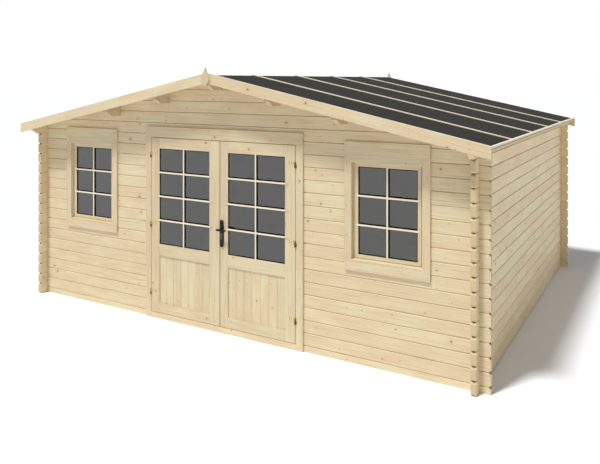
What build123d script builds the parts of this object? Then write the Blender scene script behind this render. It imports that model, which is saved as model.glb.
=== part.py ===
import math
import os

from build123d import *

# Log cabin with a low ridged roof, double glazed doors and two fixed windows.
# Millimetres. The origin is the middle of the footprint on the ground.
# +X runs along the front wall, +Y to the back, +Z up.

# Clearances
SEAT = 0.3
DOOR_GAP = 5.0
MEETING_GAP = 8.0
BORE_GAP = 0.6

# Log walls
COURSE = 114.0
LOG_THICK = 44.0
LOG_BEVEL = 6.0
WALL_WIDTH = 5000.0
WALL_DEPTH = 4070.0
LOG_END = 90.0
END_BEVEL = 18.0
SIDE_WALL_TOP = 1926.0

# Roof
ROOF_PITCH = 11.93
GABLE_OVERHANG = 195.0
EAVES_OVERHANG = 145.0
ROOF_BOARD = 19.0
FELT = 3.0
BATTEN_WIDTH = 25.0
BATTEN_THICK = 10.0
FIRST_BATTEN = 593.0
BATTEN_PITCH = 889.0
BATTEN_COUNT = 4
BATTEN_STOP = 2.0
EAVES_STRIP_WIDTH = 15.0
EAVES_STRIP_THICK = 17.0
PURLIN_WIDTH = 50.0
PURLIN_HEIGHT = 120.0
PURLIN_PLACES = (0.0, 660.0, 1334.0)
NOSE_LENGTH = 72.0
NOSE_RISE = 44.0
FASCIA_THICK = 19.0
FASCIA_HEIGHT = 100.0
FRONT_FASCIA_RISE = 44.0
BACK_FASCIA_RISE = 22.0

# Finials on the two gable peaks
FINIAL_THICK = 18.0
FINIAL_WIDTH = 96.0
FINIAL_TOP = 49.0
FINIAL_WAIST = 59.0
FINIAL_DROP = 144.0
FINIAL_HOLLOW = 3.0

# Floor
FLOOR_BOARD = 19.0
JOIST_WIDTH = 38.0
JOIST_COUNT = 11

# Doorway and its frame
DOOR_OPENING = 1780.0
DOOR_COURSES = 16.5
DOOR_FRAME_SIDE = 30.0
DOOR_FRAME_HEAD = 34.0
CASING_THICK = 18.0
DOOR_CASING_SIDE = 72.0
DOOR_CASING_HEAD = 110.0
DOOR_STOP_WIDTH = 22.0

# Door leaves
LEAF_THICK = 40.0
MEETING_OFFSET = 16.0
LEAF_STILE = 109.0
LEFT_MEETING_STILE = 124.0
RIGHT_MEETING_STILE = 93.0
LEAF_TOP_RAIL = 108.0
LEAF_GLASS_HEIGHT = 972.0
LEAF_MIDDLE_RAIL = 121.0
LEAF_BOTTOM_RAIL = 99.0
GROOVE_DEPTH = 8.0
GLASS_THICK = 4.0
GLASS_SETBACK = 9.0
PANEL_THICK = 16.0
PANEL_SETBACK = 9.0
PANEL_BOARDS = 7
PANEL_VEE = 4.0
BAR_WIDTH = 15.0
BAR_THICK = 6.0
DOOR_BAR_LAP = 36.0
WINDOW_BAR_LAP = 22.0
UPRIGHT_BAR_LAP = 8.0
DOOR_PANE_ROWS = 4

# Door hinges
HINGE_RADIUS = 7.0
KNUCKLE_LENGTH = 26.0
HINGE_STANDOFF = 8.0
LEAF_STRAP_LENGTH = 70.0
LEAF_STRAP_HEIGHT = 34.0
FRAME_STRAP_LENGTH = 12.0
STRAP_THICK = 3.0
HINGE_HEIGHTS = (262.0, 955.0, 1666.0)

# Door handle
PLATE_WIDTH = 42.0
PLATE_HEIGHT = 258.0
PLATE_THICK = 10.0
PLATE_DROP = 174.0
PLATE_INSET = 0.5
SPINDLE_HEIGHT = 1003.0
SPINDLE_SIDE = 8.0
NECK_RADIUS = 8.0
LEVER_STANDOFF = 60.0
LEVER_HEIGHT = 17.0
LEVER_THICK = 12.0
LEVER_TAIL = 24.0
LEVER_REACH = 85.0

# Windows
WINDOW_SHIFT = 11.0
WINDOW_OPENING = 702.0
WINDOW_FIRST_COURSE = 7.5
WINDOW_COURSES = 8
WINDOW_FRAME_SIDE = 35.0
WINDOW_FRAME_BOTTOM = 38.0
WINDOW_FRAME_TOP = 43.0
WINDOW_CASING_SIDE = 67.0
WINDOW_CASING_BOTTOM = 90.0
WINDOW_CASING_TOP = 107.0
WINDOW_HEAD_PIECE = 75.0
SASH_WIDTH = 49.0
SASH_THICK = 24.0
SASH_SETBACK = 20.0
SASH_TOP_WIDTH = 34.0
SASH_BOTTOM_WIDTH = 45.0
WINDOW_PANE_ROWS = 3

# Worked out from the sizes above
HALF_WIDTH = WALL_WIDTH / 2
HALF_DEPTH = WALL_DEPTH / 2
FRONT = -HALF_DEPTH
SLOPE = math.tan(math.radians(ROOF_PITCH))
RISE_FACTOR = 1 / math.cos(math.radians(ROOF_PITCH))
RIDGE = SIDE_WALL_TOP + HALF_WIDTH * SLOPE
EAVES = HALF_WIDTH + EAVES_OVERHANG
VERGE = HALF_DEPTH + GABLE_OVERHANG
FLOOR_TOP = COURSE / 2
DOOR_TOP = DOOR_COURSES * COURSE
DOOR_HALF = DOOR_OPENING / 2
CLEAR_HALF = DOOR_HALF - DOOR_FRAME_SIDE
CLEAR_TOP = DOOR_TOP - DOOR_FRAME_HEAD
LEAF_EDGE = CLEAR_HALF - DOOR_GAP
LEAF_BOTTOM = FLOOR_TOP + DOOR_GAP
LEAF_TOP = CLEAR_TOP - DOOR_GAP
LEAF_FACE = FRONT - CASING_THICK
LEAF_BACK = LEAF_FACE + LEAF_THICK
DOOR_CASING_EDGE = CLEAR_HALF + DOOR_CASING_SIDE
HINGE_X = CLEAR_HALF - DOOR_GAP / 2
HINGE_Y = LEAF_FACE - HINGE_STANDOFF
WINDOW_PLACE = (DOOR_CASING_EDGE + HALF_WIDTH) / 2 + WINDOW_SHIFT
WINDOW_BASE = WINDOW_FIRST_COURSE * COURSE
WINDOW_HEAD = WINDOW_BASE + WINDOW_COURSES * COURSE


def block(x, y, z):
    """A straight block between the given pairs of limits."""
    size = (x[1] - x[0], y[1] - y[0], z[1] - z[0])
    return Pos(x[0], y[0], z[0]) * Box(*size, align=(Align.MIN, Align.MIN, Align.MIN))


def along_y(outline, y):
    """A solid whose outline in X and Z runs between two places on Y."""
    wire = Wire.make_polygon([(px, y[0], pz) for px, pz in outline], close=True)
    return Solid.extrude(Face(wire), Vector(0, y[1] - y[0], 0))


def along_x(outline, x):
    """A solid whose outline in Y and Z runs between two places on X."""
    wire = Wire.make_polygon([(x[0], py, pz) for py, pz in outline], close=True)
    return Solid.extrude(Face(wire), Vector(x[1] - x[0], 0, 0))


def rod(start, end, radius):
    """A round bar from one point to another."""
    path = Vector(*end) - Vector(*start)
    return Solid.make_cylinder(radius, path.length, Plane(origin=start, z_dir=path))


def flipped(shape):
    """The same shape on the other side of the cabin's middle line."""
    return mirror(shape, about=Plane.YZ)


def at_back(shape):
    """The same shape turned from the front of the cabin to the back."""
    return mirror(shape, about=Plane.XZ)


def save(node, shapes):
    """Write every solid of one named piece to its own file."""
    solids = [solid for shape in shapes for solid in shape.solids()]
    whole = solids[0] if len(solids) == 1 else Compound(children=solids)
    export_step(whole, f"parts/{node}.step")


def underside(x):
    """Height of the roof boards' lower face at a distance from the ridge line."""
    return RIDGE - abs(x) * SLOPE


# Logs
def is_whole(z):
    """A whole log, not the half log that starts the front and back walls."""
    return z[1] - z[0] > COURSE / 2


def notch(place, edge, floor):
    """Corners of the square notch where another log crosses, in a log's lower or upper edge."""
    start = place - LOG_THICK / 2 - SEAT
    end = place + LOG_THICK / 2 + SEAT
    return [(start, edge), (start, floor), (end, floor), (end, edge)]


def log_outline(s, z, crossings, bevelled):
    """Side view of a log: its length, its bevelled ends and the notches at each crossing."""
    left = END_BEVEL if bevelled[0] else 0.0
    right = END_BEVEL if bevelled[1] else 0.0
    low_left = left if is_whole(z) else 0.0
    low_right = right if is_whole(z) else 0.0
    lower = [(s[0] + low_left, z[0])]
    upper = [(s[0] + left, z[1])]
    for place in crossings:
        if is_whole(z):
            lower += notch(place, z[0], z[0] + COURSE / 4)
        upper += notch(place, z[1], z[1] - COURSE / 4)
    lower.append((s[1] - low_right, z[0]))
    upper.append((s[1] - right, z[1]))
    points = lower
    if low_right:
        points = points + [(s[1], z[0] + low_right)]
    if right:
        points = points + [(s[1], z[1] - right)]
    points = points + upper[::-1]
    if left:
        points = points + [(s[0], z[1] - left)]
    if low_left:
        points = points + [(s[0], z[0] + low_left)]
    return points


def log_section(z):
    """End view of a log, its outer edges bevelled; a half log stands square on the ground."""
    low = LOG_BEVEL if is_whole(z) else 0.0
    points = [(low, z[0]), (LOG_THICK, z[0]), (LOG_THICK, z[1]), (LOG_BEVEL, z[1]), (0, z[1] - LOG_BEVEL)]
    if low:
        points.append((0, z[0] + low))
    return points


def log(s, z, crossings=(), bevelled=(False, False)):
    """One log along X, with its outer face on Y = 0."""
    side = along_y(log_outline(s, z, crossings, bevelled), (0, LOG_THICK))
    return side & along_x(log_section(z), s)


def course(number):
    """Lower and upper limit of a course, with the hairline joint between logs."""
    low = max(number * COURSE, 0.0)
    return (low + (SEAT / 2 if low else 0.0), (number + 1) * COURSE - SEAT / 2)


CORNER_X = HALF_WIDTH - LOG_THICK / 2
CORNER_Y = HALF_DEPTH - LOG_THICK / 2
TIP_X = HALF_WIDTH + LOG_END
TIP_Y = HALF_DEPTH + LOG_END
FRONT_COURSES = int(DOOR_COURSES)
WINDOW_ROWS = range(int(WINDOW_FIRST_COURSE + 1), int(WINDOW_FIRST_COURSE + 1) + WINDOW_COURSES)


def half_log():
    """The half log at the foot of the front and back walls."""
    return log((-TIP_X, TIP_X), course(-0.5), (-CORNER_X, CORNER_X), (True, True))


def front_side_logs():
    """The right half of the front wall, beside the doorway and round the window."""
    logs = []
    window = (WINDOW_PLACE - WINDOW_OPENING / 2, WINDOW_PLACE + WINDOW_OPENING / 2)
    for number in range(1, FRONT_COURSES + 1):
        z = course(number - 0.5)
        if number in WINDOW_ROWS:
            logs.append(log((DOOR_HALF, window[0]), z))
            logs.append(log((window[1], TIP_X), z, (CORNER_X,), (False, True)))
        else:
            logs.append(log((DOOR_HALF, TIP_X), z, (CORNER_X,), (False, True)))
    return logs


def back_wall_logs():
    """The plain logs of the back wall, up to the foot of its gable."""
    rows = [course(number - 0.5) for number in range(1, FRONT_COURSES + 1)]
    return [log((-TIP_X, TIP_X), z, (-CORNER_X, CORNER_X), (True, True)) for z in rows]


def roof_space(gap):
    """Everything above the roof boards' lower face, less a gap."""
    far = EAVES + LOG_END
    outline = [(-far, underside(far) - gap), (0, RIDGE - gap), (far, underside(far) - gap)]
    outline += [(far, RIDGE + COURSE), (-far, RIDGE + COURSE)]
    return along_y(outline, (-VERGE - LOG_END, VERGE + LOG_END))


def purlin_slots():
    """The slots through a gable for the purlins."""
    slots = []
    half = PURLIN_WIDTH / 2 + SEAT
    for place in purlin_places():
        low = underside(place) - PURLIN_HEIGHT - SEAT
        slots.append(block((place - half, place + half), (-COURSE, COURSE), (low, RIDGE + COURSE)))
    return slots


def purlin_places():
    """Both sides' purlins, and the one under the ridge."""
    return sorted({side * place for place in PURLIN_PLACES for side in (-1, 1)})


def gable_logs():
    """The logs over the doorway, cut to the roof's slope and round the purlins."""
    logs = []
    space = roof_space(SEAT)
    number = FRONT_COURSES + 1
    while (number - 0.5) * COURSE < RIDGE - LOG_BEVEL:
        z = course(number - 0.5)
        reach = min(TIP_X, (RIDGE - z[0]) / SLOPE)
        crossings = (-CORNER_X, CORNER_X) if reach > HALF_WIDTH else ()
        solid = log((-reach, reach), z, crossings) - space
        for slot in purlin_slots():
            solid = solid - slot
        logs += solid.solids()
        number += 1
    return logs


def side_wall_logs():
    """The right side wall; its top log carries the roof and runs on to the fascias."""
    logs = []
    crossings = (-CORNER_Y, CORNER_Y)
    number = 0
    while (number + 1) * COURSE < SIDE_WALL_TOP:
        logs.append(log((-TIP_Y, TIP_Y), course(number), crossings, (True, True)))
        number += 1
    z = course(number)
    nose_tip = VERGE - SEAT
    plate = log((-nose_tip, nose_tip), z, crossings)
    for side in (-1, 1):
        tip = side * nose_tip
        nose = [(tip, z[0]), (tip - side * NOSE_LENGTH, z[0]), (tip, z[0] + NOSE_RISE)]
        plate = plate - along_y(nose, (0, LOG_THICK))
    logs.append(plate)
    turned = [Pos(HALF_WIDTH, 0, 0) * Rot(0, 0, 90) * one for one in logs]
    turned[-1] = turned[-1] - roof_space(SEAT)
    return turned


base = Pos(0, FRONT, 0) * half_log()
save("front_base_log", [base])
right_logs = [Pos(0, FRONT, 0) * one for one in front_side_logs()]
save("front_wall_right", right_logs)
save("front_wall_left", [flipped(one) for one in right_logs])
gable = [Pos(0, FRONT, 0) * one for one in gable_logs()]
save("front_gable", gable)
save("back_gable", [at_back(one) for one in gable])
save("back_wall", [at_back(one) for one in [base] + [Pos(0, FRONT, 0) * one for one in back_wall_logs()]])
side_logs = side_wall_logs()
save("right_wall", side_logs)
save("left_wall", [flipped(one) for one in side_logs])


# Roof
def purlin(place):
    """A squared purlin with its top cut to the roof and its lower corners sloped at both ends."""
    x = (place - PURLIN_WIDTH / 2, place + PURLIN_WIDTH / 2)
    low = underside(place) - PURLIN_HEIGHT
    end = VERGE - SEAT
    outline = [(x[0], low), (x[1], low), (x[1], underside(x[1]) - SEAT)]
    if place == 0:
        outline.append((0, RIDGE - SEAT))
    outline.append((x[0], underside(x[0]) - SEAT))
    beam = along_y(outline, (-end, end))
    high = RIDGE + COURSE
    side = [(-end + NOSE_LENGTH, low), (end - NOSE_LENGTH, low), (end, low + NOSE_RISE)]
    side += [(end, high), (-end, high), (-end, low + NOSE_RISE)]
    return beam & along_x(side, x)


def roof_layer(x, lift, thick, y):
    """A flat layer on the right-hand slope, with upright edges, between two places across the slope."""
    low = lift * RISE_FACTOR
    high = (lift + thick) * RISE_FACTOR
    outline = [(x[0], underside(x[0]) + low), (x[1], underside(x[1]) + low)]
    outline += [(x[1], underside(x[1]) + high), (x[0], underside(x[0]) + high)]
    return along_y(outline, y)


BATTEN_LINES = [FRONT + FIRST_BATTEN + step * BATTEN_PITCH for step in range(BATTEN_COUNT)]
FELT_LIFT = ROOF_BOARD + SEAT
STRIP_LIFT = FELT_LIFT + FELT + SEAT

save("roof_purlins", [purlin(place) for place in purlin_places()])

boards = roof_layer((SEAT / 2, EAVES), 0, ROOF_BOARD, (-VERGE, VERGE))
save("roof_boards_right", [boards])
save("roof_boards_left", [flipped(boards)])

felt_edges = [-VERGE] + BATTEN_LINES + [VERGE]
felts = []
for start, end in zip(felt_edges, felt_edges[1:]):
    felts.append(roof_layer((SEAT / 2, EAVES), FELT_LIFT, FELT, (start + SEAT / 2, end - SEAT / 2)))
save("roof_felt_right", felts)
save("roof_felt_left", [flipped(one) for one in felts])

battens = []
batten_end = EAVES - EAVES_STRIP_WIDTH - BATTEN_STOP
for line in BATTEN_LINES:
    y = (line - BATTEN_WIDTH / 2, line + BATTEN_WIDTH / 2)
    battens.append(roof_layer((SEAT / 2, batten_end), STRIP_LIFT, BATTEN_THICK, y))
save("roof_battens", battens + [flipped(one) for one in battens])

strip = roof_layer((EAVES - EAVES_STRIP_WIDTH, EAVES), STRIP_LIFT, EAVES_STRIP_THICK, (-VERGE, VERGE))
save("eaves_strips", [strip, flipped(strip)])


def fascia(y, rise):
    """The right half of a sloping gable board, plumb cut at both ends, with its top at the given rise."""
    low = rise - FASCIA_HEIGHT
    x = (SEAT / 2, EAVES)
    outline = [(x[0], underside(x[0]) + low), (x[1], underside(x[1]) + low)]
    outline += [(x[1], underside(x[1]) + rise), (x[0], underside(x[0]) + rise)]
    return along_y(outline, y)


def finial(y):
    """A kite-shaped board with slightly hollow sides."""
    peak = RIDGE + FRONT_FASCIA_RISE
    top = (0, y, peak + FINIAL_TOP)
    waist = peak - FINIAL_WAIST
    tip = (0, y, peak - FINIAL_DROP)
    edges = []
    for side in (-1, 1):
        corner = (side * FINIAL_WIDTH / 2, y, waist)
        for end in (top, tip):
            middle = (Vector(*corner) + Vector(*end)) / 2
            inward = Vector(-side, 0, 0) * FINIAL_HOLLOW
            edges.append(ThreePointArc(corner, middle + inward, end).edge())
    return Solid.extrude(Face(Wire.combine(edges)[0]), Vector(0, FINIAL_THICK, 0))


FASCIA_FRONT = VERGE + SEAT + FASCIA_THICK
fascia_y = (-FASCIA_FRONT, -VERGE - SEAT)
front_board = fascia(fascia_y, FRONT_FASCIA_RISE)
back_board = at_back(fascia(fascia_y, BACK_FASCIA_RISE))
save("front_fascia", [front_board, flipped(front_board)])
save("back_fascia", [back_board, flipped(back_board)])
front_finial = finial(-FASCIA_FRONT - SEAT - FINIAL_THICK)
save("front_finial", [front_finial])
save("back_finial", [at_back(front_finial)])

# Floor
inner_x = HALF_WIDTH - LOG_THICK - SEAT
inner_y = HALF_DEPTH - LOG_THICK - SEAT
joist_top = FLOOR_TOP - FLOOR_BOARD - SEAT
joist_step = (2 * inner_x - JOIST_WIDTH) / (JOIST_COUNT - 1)
joists = []
for number in range(JOIST_COUNT):
    left = -inner_x + number * joist_step
    joists.append(block((left, left + JOIST_WIDTH), (-inner_y, inner_y), (0, joist_top)))
save("floor_joists", joists)
save("floor_boards", [block((-inner_x, inner_x), (-inner_y, inner_y), (FLOOR_TOP - FLOOR_BOARD, FLOOR_TOP))])

# Doorway
inner_face = FRONT + LOG_THICK
frame_y = (FRONT, inner_face)
jamb = block((CLEAR_HALF, DOOR_HALF - SEAT), frame_y, (FLOOR_TOP, CLEAR_TOP - SEAT))
head = block((-DOOR_HALF + SEAT, DOOR_HALF - SEAT), frame_y, (CLEAR_TOP, DOOR_TOP - SEAT))
stop_y = (LEAF_BACK + DOOR_GAP, inner_face)
stop_low = CLEAR_TOP - SEAT - DOOR_STOP_WIDTH
stop_x = (CLEAR_HALF - SEAT - DOOR_STOP_WIDTH, CLEAR_HALF - SEAT)
side_stop = block(stop_x, stop_y, (FLOOR_TOP, stop_low - SEAT))
head_stop = block((-CLEAR_HALF + SEAT, CLEAR_HALF - SEAT), stop_y, (stop_low, CLEAR_TOP - SEAT))
save("door_frame", [jamb, flipped(jamb), head, side_stop, flipped(side_stop), head_stop])

outside = (LEAF_FACE, FRONT - SEAT)
inside = (inner_face + SEAT, inner_face + CASING_THICK)
casing = []
for y, foot in ((outside, 0.0), (inside, FLOOR_TOP)):
    side = block((CLEAR_HALF, DOOR_CASING_EDGE), y, (foot, CLEAR_TOP - SEAT))
    casing += [side, flipped(side)]
    top = (CLEAR_TOP, CLEAR_TOP + DOOR_CASING_HEAD)
    casing.append(block((-DOOR_CASING_EDGE, DOOR_CASING_EDGE), y, top))
save("door_casing", casing)
save("door_sill", [block((-CLEAR_HALF + SEAT, CLEAR_HALF - SEAT), outside, (0, FLOOR_TOP))])


# Door leaves
def glazing_bars(x, z, rows, face, lap):
    """A flat lattice with one upright and level bars, lapping on the frame round the glass."""
    half = BAR_WIDTH / 2
    middle = (x[0] + x[1]) / 2
    y = (face - SEAT - BAR_THICK, face - SEAT)
    lattice = block((middle - half, middle + half), y, (z[0] - UPRIGHT_BAR_LAP, z[1] + UPRIGHT_BAR_LAP))
    for row in range(1, rows):
        level = z[0] + (z[1] - z[0]) * row / rows
        lattice = lattice + block((x[0] - lap, x[1] + lap), y, (level - half, level + half))
    return lattice


def boarded_panel(x, z, face):
    """Upright boards with vee joints, as one grooved panel."""
    step = (x[1] - x[0]) / PANEL_BOARDS
    y = (face, face + PANEL_THICK)
    panel = block(x, y, z)
    for number in range(1, PANEL_BOARDS):
        line = x[0] + number * step
        vee = [(line - PANEL_VEE, face), (line, face + PANEL_VEE), (line + PANEL_VEE, face)]
        wire = Wire.make_polygon([(px, py, z[0]) for px, py in vee], close=True)
        panel = panel - Solid.extrude(Face(wire), Vector(0, 0, z[1] - z[0]))
    return panel


def leaf(side, x, stiles):
    """Stiles, rails, glass, panel and bars of one leaf, between two places on X."""
    y = (LEAF_FACE, LEAF_BACK)
    inner = (x[0] + stiles[0], x[1] - stiles[1])
    glass_top = LEAF_TOP - LEAF_TOP_RAIL
    glass_low = glass_top - LEAF_GLASS_HEIGHT
    panel_top = glass_low - LEAF_MIDDLE_RAIL
    panel_low = LEAF_BOTTOM + LEAF_BOTTOM_RAIL
    glass_y = (LEAF_FACE + GLASS_SETBACK, LEAF_FACE + GLASS_SETBACK + GLASS_THICK)
    panel_face = LEAF_FACE + PANEL_SETBACK
    reach = (inner[0] - GROOVE_DEPTH, inner[1] + GROOVE_DEPTH)
    glass_reach = (glass_low - GROOVE_DEPTH, glass_top + GROOVE_DEPTH)
    panel_reach = (panel_low - GROOVE_DEPTH, panel_top + GROOVE_DEPTH)
    glass_groove = block(reach, (glass_y[0] - SEAT, glass_y[1] + SEAT), glass_reach)
    panel_groove = block(reach, (panel_face - SEAT, panel_face + PANEL_THICK + SEAT), panel_reach)
    rail_x = (inner[0] + SEAT, inner[1] - SEAT)
    members = [
        block((x[0], inner[0]), y, (LEAF_BOTTOM, LEAF_TOP)),
        block((inner[1], x[1]), y, (LEAF_BOTTOM, LEAF_TOP)),
        block(rail_x, y, (glass_top, LEAF_TOP)),
        block(rail_x, y, (panel_top, glass_low)),
        block(rail_x, y, (LEAF_BOTTOM, panel_low)),
    ]
    members = [one - glass_groove - panel_groove for one in members]
    fill_x = (reach[0] + SEAT, reach[1] - SEAT)
    glass_z = (glass_reach[0] + SEAT, glass_reach[1] - SEAT)
    panel_z = (panel_reach[0] + SEAT, panel_reach[1] - SEAT)
    save(f"{side}_door_glass", [block(fill_x, glass_y, glass_z)])
    save(f"{side}_door_panel", [boarded_panel(fill_x, panel_z, panel_face)])
    bars = glazing_bars(inner, (glass_low, glass_top), DOOR_PANE_ROWS, LEAF_FACE, DOOR_BAR_LAP)
    save(f"{side}_door_bars", [bars])
    return members


def on_spindle(y, radius):
    """A round bar on the middle line of the square spindle, between two places on Y."""
    return rod((SPINDLE_X, y[0], SPINDLE_HEIGHT), (SPINDLE_X, y[1], SPINDLE_HEIGHT), radius)


meeting_left = MEETING_OFFSET - MEETING_GAP / 2
meeting_right = MEETING_OFFSET + MEETING_GAP / 2
SPINDLE_X = meeting_right + PLATE_INSET + PLATE_WIDTH / 2
SPINDLE_BORE = SPINDLE_SIDE / math.sqrt(2) + BORE_GAP
left_members = leaf("left", (-LEAF_EDGE, meeting_left), (LEAF_STILE, LEFT_MEETING_STILE))
save("left_door_frame", left_members)
right_members = leaf("right", (meeting_right, LEAF_EDGE), (RIGHT_MEETING_STILE, LEAF_STILE))
spindle_bore = on_spindle((LEAF_FACE - SEAT, LEAF_BACK + SEAT), SPINDLE_BORE)
save("right_door_frame", [one - spindle_bore for one in right_members])


# Door hinges
def hinge_half(low, reach, height):
    """One knuckle of a right-hand hinge with its strap on the wood; reach is less than 0 over the leaf."""
    knuckle = rod((HINGE_X, HINGE_Y, low), (HINGE_X, HINGE_Y, low + KNUCKLE_LENGTH), HINGE_RADIUS)
    strap_y = (LEAF_FACE - SEAT - STRAP_THICK, LEAF_FACE - SEAT)
    return knuckle + block(sorted((HINGE_X, HINGE_X + reach)), strap_y, (low, low + height))


leaf_lows = [height + SEAT / 2 for height in HINGE_HEIGHTS]
leaf_halves = [hinge_half(low, -LEAF_STRAP_LENGTH, LEAF_STRAP_HEIGHT) for low in leaf_lows]
frame_lows = [height - SEAT / 2 - KNUCKLE_LENGTH for height in HINGE_HEIGHTS]
frame_halves = [hinge_half(low, FRAME_STRAP_LENGTH, KNUCKLE_LENGTH) for low in frame_lows]
save("right_door_hinges", leaf_halves)
save("left_door_hinges", [flipped(one) for one in leaf_halves])
save("frame_hinges", frame_halves + [flipped(one) for one in frame_halves])


# Door handle
def upright(outline, x, y, z):
    """Stand a flat outline up across the leaf, its own middle at the given place; it grows towards -Y."""
    return Pos(x, y, z) * Rot(90, 0, 0) * outline


def handle_plate(back):
    """A long plate with round ends, bored for the spindle."""
    middle = SPINDLE_HEIGHT - PLATE_DROP + PLATE_HEIGHT / 2
    bore = Pos(0, SPINDLE_HEIGHT - middle) * Circle(SPINDLE_BORE)
    outline = SlotOverall(PLATE_HEIGHT, PLATE_WIDTH, rotation=90) - bore
    return extrude(upright(outline, SPINDLE_X, back, middle), PLATE_THICK)


outer_face = LEAF_FACE - SEAT - PLATE_THICK
inner_back = LEAF_BACK + SEAT + PLATE_THICK
save("handle_plates", [handle_plate(LEAF_FACE - SEAT), handle_plate(inner_back)])


def lever(face, outward):
    """Neck and round-ended grip on one side of the leaf; outward is -1 on the outer side."""
    grip_y = sorted((face + outward * (LEVER_STANDOFF - LEVER_THICK), face + outward * LEVER_STANDOFF))
    neck = on_spindle(sorted((face + outward * BORE_GAP, face + outward * LEVER_STANDOFF)), NECK_RADIUS)
    length = LEVER_TAIL + LEVER_REACH
    outline = SlotOverall(length, LEVER_HEIGHT)
    middle = SPINDLE_X - LEVER_TAIL + length / 2
    return neck + extrude(upright(outline, middle, grip_y[1], SPINDLE_HEIGHT), LEVER_THICK)


spindle_x = (SPINDLE_X - SPINDLE_SIDE / 2, SPINDLE_X + SPINDLE_SIDE / 2)
spindle_y = (outer_face - LEVER_STANDOFF / 2, inner_back + LEVER_STANDOFF / 2)
spindle_z = (SPINDLE_HEIGHT - SPINDLE_SIDE / 2, SPINDLE_HEIGHT + SPINDLE_SIDE / 2)
spindle = block(spindle_x, spindle_y, spindle_z)
save("door_handle", [spindle + lever(outer_face, -1) + lever(inner_back, 1)])


# Windows
def window(side, place):
    """Casing, fixed frame with its sash, glass and bars of one window, round its middle line."""
    half = WINDOW_OPENING / 2
    clear = half - WINDOW_FRAME_SIDE
    low = WINDOW_BASE + WINDOW_FRAME_BOTTOM
    high = WINDOW_HEAD - WINDOW_FRAME_TOP
    wide = clear + WINDOW_CASING_SIDE
    top_board = high + WINDOW_HEAD_PIECE

    def across(start, end):
        return (place + start, place + end)

    boards = []
    for y in (outside, inside):
        boards.append(block(across(-wide, -clear), y, (low, top_board - SEAT)))
        boards.append(block(across(clear, wide), y, (low, top_board - SEAT)))
        boards.append(block(across(-clear + SEAT, clear - SEAT), y, (high, top_board - SEAT)))
        boards.append(block(across(-wide, wide), y, (top_board, top_board + WINDOW_CASING_TOP)))
        boards.append(block(across(-wide, wide), y, (low - WINDOW_CASING_BOTTOM, low - SEAT)))
    save(f"{side}_window_casing", boards)

    edge = half - SEAT
    frame_low = WINDOW_BASE + SEAT
    frame_high = WINDOW_HEAD - SEAT
    members = [
        block(across(-edge, -clear), frame_y, (low, high)),
        block(across(clear, edge), frame_y, (low, high)),
        block(across(-edge, edge), frame_y, (frame_low, low - SEAT)),
        block(across(-edge, edge), frame_y, (high + SEAT, frame_high)),
    ]
    sash_face = FRONT + SASH_SETBACK
    sash_y = (sash_face, sash_face + SASH_THICK)
    sash_x = clear - SEAT
    glass_x = clear - SASH_WIDTH
    sash_z = (low + SEAT, high - SEAT)
    glass_z = (low + SASH_BOTTOM_WIDTH, high - SASH_TOP_WIDTH)
    glass_y = (sash_face + GLASS_SETBACK, sash_face + GLASS_SETBACK + GLASS_THICK)
    groove_x = across(-glass_x - GROOVE_DEPTH, glass_x + GROOVE_DEPTH)
    groove_z = (glass_z[0] - GROOVE_DEPTH, glass_z[1] + GROOVE_DEPTH)
    groove = block(groove_x, (glass_y[0] - SEAT, glass_y[1] + SEAT), groove_z)
    rail_x = across(-glass_x + SEAT, glass_x - SEAT)
    sash = [
        block(across(-sash_x, -glass_x), sash_y, sash_z),
        block(across(glass_x, sash_x), sash_y, sash_z),
        block(rail_x, sash_y, (sash_z[0], glass_z[0])),
        block(rail_x, sash_y, (glass_z[1], sash_z[1])),
    ]
    save(f"{side}_window_frame", members + [one - groove for one in sash])
    pane_x = (groove_x[0] + SEAT, groove_x[1] - SEAT)
    pane_z = (groove_z[0] + SEAT, groove_z[1] - SEAT)
    save(f"{side}_window_glass", [block(pane_x, glass_y, pane_z)])
    bars_x = across(-glass_x, glass_x)
    bars = glazing_bars(bars_x, glass_z, WINDOW_PANE_ROWS, sash_face, WINDOW_BAR_LAP)
    save(f"{side}_window_bars", [bars])


window("right", WINDOW_PLACE)
window("left", -WINDOW_PLACE)
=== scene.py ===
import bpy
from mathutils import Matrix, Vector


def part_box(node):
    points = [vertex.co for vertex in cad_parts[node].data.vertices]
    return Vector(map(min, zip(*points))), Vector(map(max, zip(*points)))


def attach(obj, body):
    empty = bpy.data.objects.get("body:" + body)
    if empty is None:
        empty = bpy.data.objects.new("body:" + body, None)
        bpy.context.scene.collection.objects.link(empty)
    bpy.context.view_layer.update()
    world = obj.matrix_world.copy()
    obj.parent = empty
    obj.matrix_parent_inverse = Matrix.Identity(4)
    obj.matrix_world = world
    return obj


bl_info = {
    "name": "Log Cabin",
    "version": (1, 0, 0),
    "blender": (4, 5, 0),
    "location": "View3D > Sidebar > Cabin",
    "description": "Dresses a log cabin in wood, felt, glass and metal, and sets up its stage",
    "category": "Object",
}

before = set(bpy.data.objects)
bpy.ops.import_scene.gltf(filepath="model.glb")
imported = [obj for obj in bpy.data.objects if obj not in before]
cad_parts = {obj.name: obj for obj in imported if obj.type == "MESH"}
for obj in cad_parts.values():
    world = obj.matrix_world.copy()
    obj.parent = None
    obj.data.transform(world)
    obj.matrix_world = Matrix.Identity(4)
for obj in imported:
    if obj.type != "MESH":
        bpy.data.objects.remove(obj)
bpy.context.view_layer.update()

import math

import bmesh
import bpy
from bpy.props import FloatProperty, FloatVectorProperty, PointerProperty
from mathutils import Matrix, Vector

SIDES = ("left", "right")

# Edges that are rounded: how near two points are one, and how sharp an edge has to be
SAME_POINT = 0.00001
SHARP_ANGLE = math.radians(28)

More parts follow.
